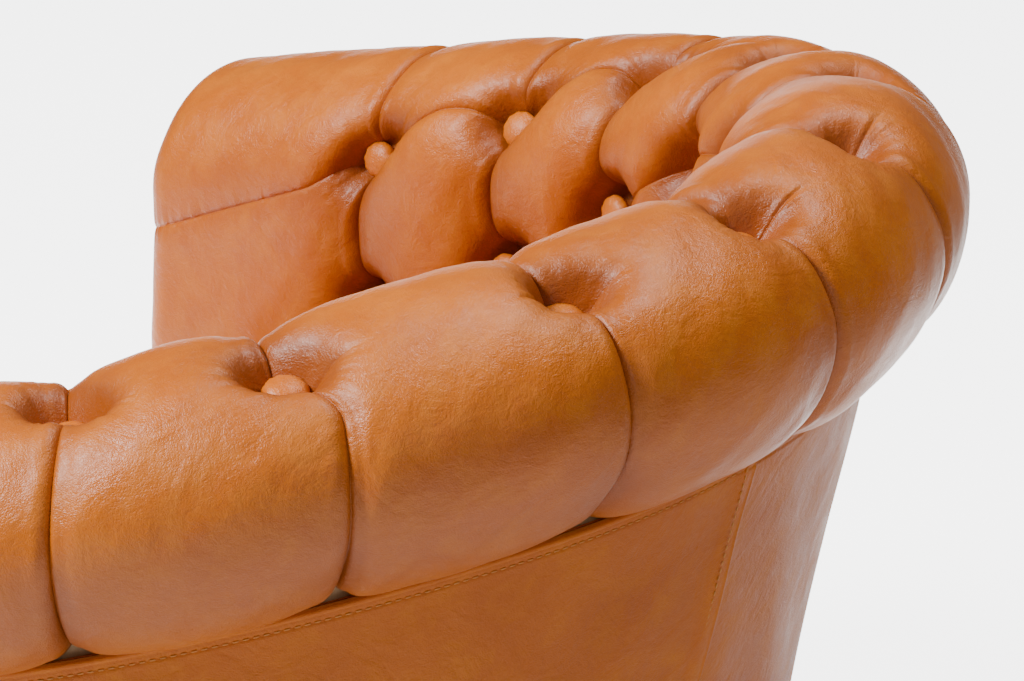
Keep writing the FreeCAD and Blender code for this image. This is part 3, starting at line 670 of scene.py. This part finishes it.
cushion = seat_cushion()
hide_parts("cushion_core", "cushion_band", "cushion_top", "cushion_bottom")
welts = []
for name, z in (("cushion_welt_top", SEAT_HIGH - WELT_DROP),
                ("cushion_welt_bottom", SEAT_LOW + WELT_DROP)):
    welts.append(tube(name, [(x, y, z) for x, y in seat_outline(WELT_INSET)], WELT_RADIUS))


def front_border():
    """The padded strip below the cushion, rounded over at its lower and upper edge."""
    low, high = (Vector(c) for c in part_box("front_border"))
    cols = np.linspace(low.x, high.x, 120)
    corner = BORDER_CORNER
    section_points = [(high.y, low.z)]
    section_points += [(low.y + corner - corner * math.sin(a), low.z + corner - corner * math.cos(a))
                       for a in np.linspace(0, math.pi / 2, 8)]
    section_points += [(low.y, z) for z in np.linspace(low.z + corner, high.z - corner, 14)[1:-1]]
    section_points += [(low.y + corner - corner * math.cos(a), high.z - corner + corner * math.sin(a))
                       for a in np.linspace(0, math.pi / 2, 8)]
    section_points += [(high.y, high.z)]
    rings = []
    for x in cols:
        ring = []
        for y, z in section_points:
            swell = 0.0012 * float(wavy(44, np.array(x * 30), np.array(z * 30)))
            ring.append((x, y - (swell if y < high.y - 0.001 else 0), z))
        rings.append(ring)
    verts = np.array(rings).reshape(-1, 3)
    count = len(section_points)
    faces = grid_faces(len(cols), count, wrap=True)
    faces.append(tuple(range(count - 1, -1, -1)))
    faces.append(tuple(range(len(verts) - count, len(verts))))
    obj = finish_mesh("border_pad", verts, faces)
    depth_attribute(obj, np.full(len(verts), 0.0))
    return obj


border = front_border()
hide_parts("front_border")
padding += [(cushion, BACK_FILL), (border, FRONT_FILL)]


# ---------------------------------------------------------------- materials
def node_tree(name):
    mat = bpy.data.materials.new(name)
    mat.use_nodes = True
    nodes, links = mat.node_tree.nodes, mat.node_tree.links
    return mat, nodes, links, nodes["Principled BSDF"]


def noise(nodes, links, vector, scale, detail=4, rough=0.55, distortion=0.0):
    n = nodes.new("ShaderNodeTexNoise")
    n.inputs["Scale"].default_value = scale
    n.inputs["Detail"].default_value = detail
    n.inputs["Roughness"].default_value = rough
    n.inputs["Distortion"].default_value = distortion
    links.new(vector, n.inputs["Vector"])
    return n.outputs["Fac"]


def remap(nodes, links, value, low, high, to_low, to_high):
    m = nodes.new("ShaderNodeMapRange")
    links.new(value, m.inputs["Value"])
    for key, number in (("From Min", low), ("From Max", high), ("To Min", to_low), ("To Max", to_high)):
        m.inputs[key].default_value = number
    return m.outputs["Result"]


def blend_colour(nodes, links, factor, a, b):
    m = nodes.new("ShaderNodeMix")
    m.data_type = "RGBA"
    links.new(factor, m.inputs["Factor"])
    for socket, value in ((m.inputs["A"], a), (m.inputs["B"], b)):
        if isinstance(value, tuple):
            socket.default_value = (*value, 1)
        else:
            links.new(value, socket)
    return m.outputs["Result"]


def math_node(nodes, links, operation, a, b):
    m = nodes.new("ShaderNodeMath")
    m.operation = operation
    for socket, value in zip(m.inputs, (a, b)):
        if isinstance(value, (int, float)):
            socket.default_value = value
        else:
            links.new(value, socket)
    return m.outputs["Value"]


TAN = (0.600, 0.145, 0.0020)
TAN_DEEP = (0.400, 0.072, 0.0010)
TAN_LIGHT = (0.720, 0.225, 0.0100)
CREASE_TONE = 0.55                   # painted shade of the deepest creases, against the deep tan
PORE_SCALE, PORE_WARP, WARP_SCALE = 620.0, 0.004, 160.0
RELIEF = ((95.0, 6, 0.62, 1.6, 1.1), (24.0, 5, 0.55, 2.2, 2.2))
PEBBLE_SHARE = 0.16
MOTTLE_TONE = 0.75


def leather(name, shade=1.0, rough=0.36, shine=0.42, coat=0.10):
    mat, nodes, links, shader = node_tree(name)
    coords = nodes.new("ShaderNodeTexCoord").outputs["Object"]
    clouds = noise(nodes, links, coords, 7.0, 5, 0.6, 0.6)
    patches = noise(nodes, links, coords, 38.0, 4, 0.6, 0.4)
    specks = noise(nodes, links, coords, 420.0, 3, 0.6)
    tones = [tuple(c * shade for c in t) for t in (TAN, TAN_DEEP, TAN_LIGHT)]
    colour = tones[0]
    for pattern, low, high, most, tone in ((clouds, 0.35, 0.70, 0.55, tones[1]),
                                           (patches, 0.45, 0.75, 0.45, tones[2]),
                                           (specks, 0.40, 0.75, 0.25, tones[1])):
        share = remap(nodes, links, pattern, low, high, 0, most)
        colour = blend_colour(nodes, links, share, colour, tone)
    depth = nodes.new("ShaderNodeAttribute")
    depth.attribute_name = "depth"
    # painted shade: where the leather sinks into creases and dimples, its colour is darkened toward the
    # deep tan
    crease_shade_share = remap(nodes, links, depth.outputs["Fac"], -0.012, 0.002, 0.75, 0.0)
    colour = blend_colour(nodes, links, crease_shade_share, colour, tuple(c * CREASE_TONE for c in tones[1]))
    links.new(colour, shader.inputs["Base Color"])
    pores = nodes.new("ShaderNodeTexVoronoi")
    pores.feature = "DISTANCE_TO_EDGE"
    pores.inputs["Scale"].default_value = PORE_SCALE
    warp = nodes.new("ShaderNodeVectorMath")
    warp.operation = "ADD"
    jitter = nodes.new("ShaderNodeTexNoise")
    jitter.inputs["Scale"].default_value = WARP_SCALE
    links.new(coords, jitter.inputs["Vector"])
    scaled = nodes.new("ShaderNodeVectorMath")
    scaled.operation = "SCALE"
    scaled.inputs["Scale"].default_value = PORE_WARP
    links.new(jitter.outputs["Color"], scaled.inputs[0])
    links.new(coords, warp.inputs[0])
    links.new(scaled.outputs["Vector"], warp.inputs[1])
    links.new(warp.outputs["Vector"], pores.inputs["Vector"])
    pebble = remap(nodes, links, pores.outputs["Distance"], 0.0, 0.25, 0.0, 1.0)
    height = math_node(nodes, links, "MULTIPLY", pebble, PEBBLE_SHARE)
    for scale, detail, roughness, distortion, share in RELIEF:
        relief = noise(nodes, links, coords, scale, detail, roughness, distortion)
        raised = math_node(nodes, links, "MULTIPLY", relief, share)
        height = math_node(nodes, links, "ADD", height, raised)
    bump = nodes.new("ShaderNodeBump")
    bump.inputs["Strength"].default_value = 0.42
    bump.inputs["Distance"].default_value = 0.0016
    links.new(height, bump.inputs["Height"])
    links.new(bump.outputs["Normal"], shader.inputs["Normal"])
    gloss = remap(nodes, links, patches, 0.3, 0.75, rough - 0.05, rough + 0.10)
    gloss = math_node(nodes, links, "ADD", gloss, math_node(nodes, links, "MULTIPLY", specks, 0.05))
    links.new(gloss, shader.inputs["Roughness"])
    shader.inputs["Specular IOR Level"].default_value = shine
    shader.inputs["Coat Weight"].default_value = coat
    shader.inputs["Coat Roughness"].default_value = 0.30
    shader.inputs["Coat Tint"].default_value = (1.0, 0.93, 0.85, 1)
    return mat


def wood(name, light, dark, rough):
    mat, nodes, links, shader = node_tree(name)
    coords = nodes.new("ShaderNodeTexCoord").outputs["Object"]
    stretch = nodes.new("ShaderNodeMapping")
    stretch.inputs["Scale"].default_value = (60, 60, 5)
    links.new(coords, stretch.inputs["Vector"])
    grain = noise(nodes, links, stretch.outputs["Vector"], 1.0, 6, 0.6, 1.2)
    fine = noise(nodes, links, stretch.outputs["Vector"], 6.0, 3, 0.6)
    colour = blend_colour(nodes, links, remap(nodes, links, grain, 0.35, 0.65, 0, 1), light, dark)
    links.new(colour, shader.inputs["Base Color"])
    links.new(remap(nodes, links, fine, 0.3, 0.7, rough, rough + 0.15), shader.inputs["Roughness"])
    bump = nodes.new("ShaderNodeBump")
    bump.inputs["Strength"].default_value = 0.15
    bump.inputs["Distance"].default_value = 0.0006
    links.new(fine, bump.inputs["Height"])
    links.new(bump.outputs["Normal"], shader.inputs["Normal"])
    return mat


def plain(name, colour, rough, metal, scale, depth):
    """Metal, nylon, twine or cloth: mottled colour, uneven gloss and a fine relief."""
    mat, nodes, links, shader = node_tree(name)
    coords = nodes.new("ShaderNodeTexCoord").outputs["Object"]
    mottle = noise(nodes, links, coords, scale / 6, 4)
    fine = noise(nodes, links, coords, scale, 4)
    dark = tuple(c * MOTTLE_TONE for c in colour)
    links.new(blend_colour(nodes, links, mottle, colour, dark), shader.inputs["Base Color"])
    gloss = remap(nodes, links, fine, 0.3, 0.7, rough, min(rough + 0.2, 1))
    links.new(gloss, shader.inputs["Roughness"])
    shader.inputs["Metallic"].default_value = metal
    bump = nodes.new("ShaderNodeBump")
    bump.inputs["Strength"].default_value = 0.3
    bump.inputs["Distance"].default_value = depth
    links.new(fine, bump.inputs["Height"])
    links.new(bump.outputs["Normal"], shader.inputs["Normal"])
    return mat


LEATHER = leather("tan_leather")
PANEL_LEATHER = leather("tan_panel_leather", 0.90, 0.50, 0.26, 0.0)
BUTTON_LEATHER = leather("tan_button_leather", 1.02, 0.34)
THREAD = plain("stitch_thread", (0.62, 0.24, 0.05), 0.7, 0, 2600, 0.0001)
SLOTS = {
    "leather_padding": LEATHER,
    "leather_panel": PANEL_LEATHER,
    "leather_button": BUTTON_LEATHER,
    "foam": plain("cushion_foam", (0.85, 0.80, 0.62), 0.9, 0, 500, 0.001),
    "twine": plain("waxed_twine", (0.72, 0.62, 0.44), 0.7, 0, 2000, 0.0003),
    "frame_wood": wood("frame_hardwood", (0.62, 0.42, 0.22), (0.46, 0.28, 0.13), 0.55),
    "leg_wood": wood("dark_leg_wood", (0.085, 0.038, 0.018), (0.030, 0.013, 0.007), 0.28),
    "zinc_steel": plain("zinc_bolts", (0.62, 0.62, 0.64), 0.35, 1.0, 300, 0.0001),
    "spring_steel": plain("spring_wire", (0.30, 0.30, 0.32), 0.38, 1.0, 300, 0.0001),
    "nylon": plain("nylon_glides", (0.05, 0.05, 0.05), 0.55, 0, 500, 0.0002),
    "webbing": plain("jute_webbing", (0.50, 0.38, 0.22), 0.9, 0, 900, 0.0008),
    "deck_cloth": plain("black_deck_cloth", (0.03, 0.03, 0.032), 0.9, 0, 1400, 0.0004),
}
for sub in frame["record"]["subparts"]:
    node = frame["nodes"][sub["node"]]
    node.data.materials.clear()
    node.data.materials.append(SLOTS[sub["material_slot"]])


def dress(obj, material, body):
    obj.data.materials.append(material)
    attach(obj, body)


for obj, fill in padding:
    dress(obj, LEATHER, "cushion" if obj is cushion else "chair")
for obj in panels:
    dress(obj, PANEL_LEATHER, "chair")
for obj in stitches:
    dress(obj, THREAD, "chair")
for obj in buttons:
    dress(obj, BUTTON_LEATHER, "chair")
for obj in welts:
    dress(obj, PANEL_LEATHER, "cushion")


# ---------------------------------------------------------------- floor, light and camera
FLOOR_HALF, FLOOR_LEVEL = 8, -0.0005
TO_CAMERA = (0.797, 0.603)           # on the floor, the direction from the chair to the camera
STRIP_CENTRE = 0.13                  # the bright strip's middle, to the side of that direction
STRIP_FAR, STRIP_NEAR = -0.65, -0.35
STRIP_FULL, STRIP_EDGE = 0.75, 1.15
FLOOR_GLOW, STRIP_GLOW = 0.10, 4.5
CAMERA_LENS, CAMERA_SENSOR = 153.9, 36.0
CAMERA_PLACE = (1.8582, 1.6515 + Y_ARC, 1.6309)
CAMERA_DOWN, CAMERA_HEADING = 0.4023, 0.9226
WORLD_LIGHT = 0.13


def stage_floor():
    """A pale paper floor, which glows behind the chair as the far end of a studio sweep does."""
    verts = [(x * FLOOR_HALF, y * FLOOR_HALF, FLOOR_LEVEL)
             for x, y in ((-1, -1), (1, -1), (1, 1), (-1, 1))]
    mesh = bpy.data.meshes.new("studio_floor")
    mesh.from_pydata(verts, [], [(0, 1, 2, 3)])
    obj = bpy.data.objects.new("studio_floor", mesh)
    bpy.context.collection.objects.link(obj)
    mat, nodes, links, shader = node_tree("studio_paper")
    shader.inputs["Base Color"].default_value = (0.93, 0.93, 0.93, 1)
    shader.inputs["Roughness"].default_value = 0.9
    shader.inputs["Emission Color"].default_value = (1, 1, 1, 1)
    where = nodes.new("ShaderNodeSeparateXYZ")
    links.new(nodes.new("ShaderNodeTexCoord").outputs["Object"], where.inputs["Vector"])

    def along(x_share, y_share):
        x_part = math_node(nodes, links, "MULTIPLY", where.outputs["X"], x_share)
        y_part = math_node(nodes, links, "MULTIPLY", where.outputs["Y"], y_share)
        return math_node(nodes, links, "ADD", x_part, y_part)

    toward = along(TO_CAMERA[0], TO_CAMERA[1])
    across = math_node(nodes, links, "ADD", along(-TO_CAMERA[1], TO_CAMERA[0]), -STRIP_CENTRE)
    across = math_node(nodes, links, "ABSOLUTE", across, 0)
    lit = math_node(nodes, links, "MULTIPLY", remap(nodes, links, toward, STRIP_FAR, STRIP_NEAR, 1, 0),
                    remap(nodes, links, across, STRIP_FULL, STRIP_EDGE, 1, 0))
    glow = remap(nodes, links, lit, 0, 1, FLOOR_GLOW, STRIP_GLOW)
    links.new(glow, shader.inputs["Emission Strength"])
    mesh.materials.append(mat)


def area_light(name, place_at, toward, size, power):
    data = bpy.data.lights.new(name, "AREA")
    data.shape = "RECTANGLE"
    data.size, data.size_y = size
    data.energy = power
    obj = bpy.data.objects.new(name, data)
    bpy.context.collection.objects.link(obj)
    obj.location = place_at
    obj.rotation_euler = (Vector(toward) - Vector(place_at)).to_track_quat("-Z", "Y").to_euler()


stage_floor()
world = bpy.data.worlds.new("studio_white")
bpy.context.scene.world = world
world.use_nodes = True
world.node_tree.nodes["Background"].inputs["Color"].default_value = (1, 1, 1, 1)
world.node_tree.nodes["Background"].inputs["Strength"].default_value = WORLD_LIGHT
area_light("soft_key", (1.9, -1.3, 2.9), (0, 0, 0.6), (0.9, 0.9), 190)
area_light("soft_top", (-0.7, 0.2, 2.6), (0, 0, 0.6), (0.8, 0.6), 30)
area_light("soft_rear", (1.4, 2.6, 1.9), (0, 0.1, 0.6), (0.9, 1.2), 9)

camera_data = bpy.data.cameras.new("studio_camera")
camera = bpy.data.objects.new("studio_camera", camera_data)
bpy.context.collection.objects.link(camera)
bpy.context.scene.camera = camera
camera_data.lens = CAMERA_LENS
camera_data.sensor_width = CAMERA_SENSOR
camera.location = CAMERA_PLACE
level = math.cos(CAMERA_DOWN)
look = Vector((-math.sin(CAMERA_HEADING) * level, -math.cos(CAMERA_HEADING) * level,
               -math.sin(CAMERA_DOWN)))
camera.rotation_euler = look.to_track_quat("-Z", "Y").to_euler()
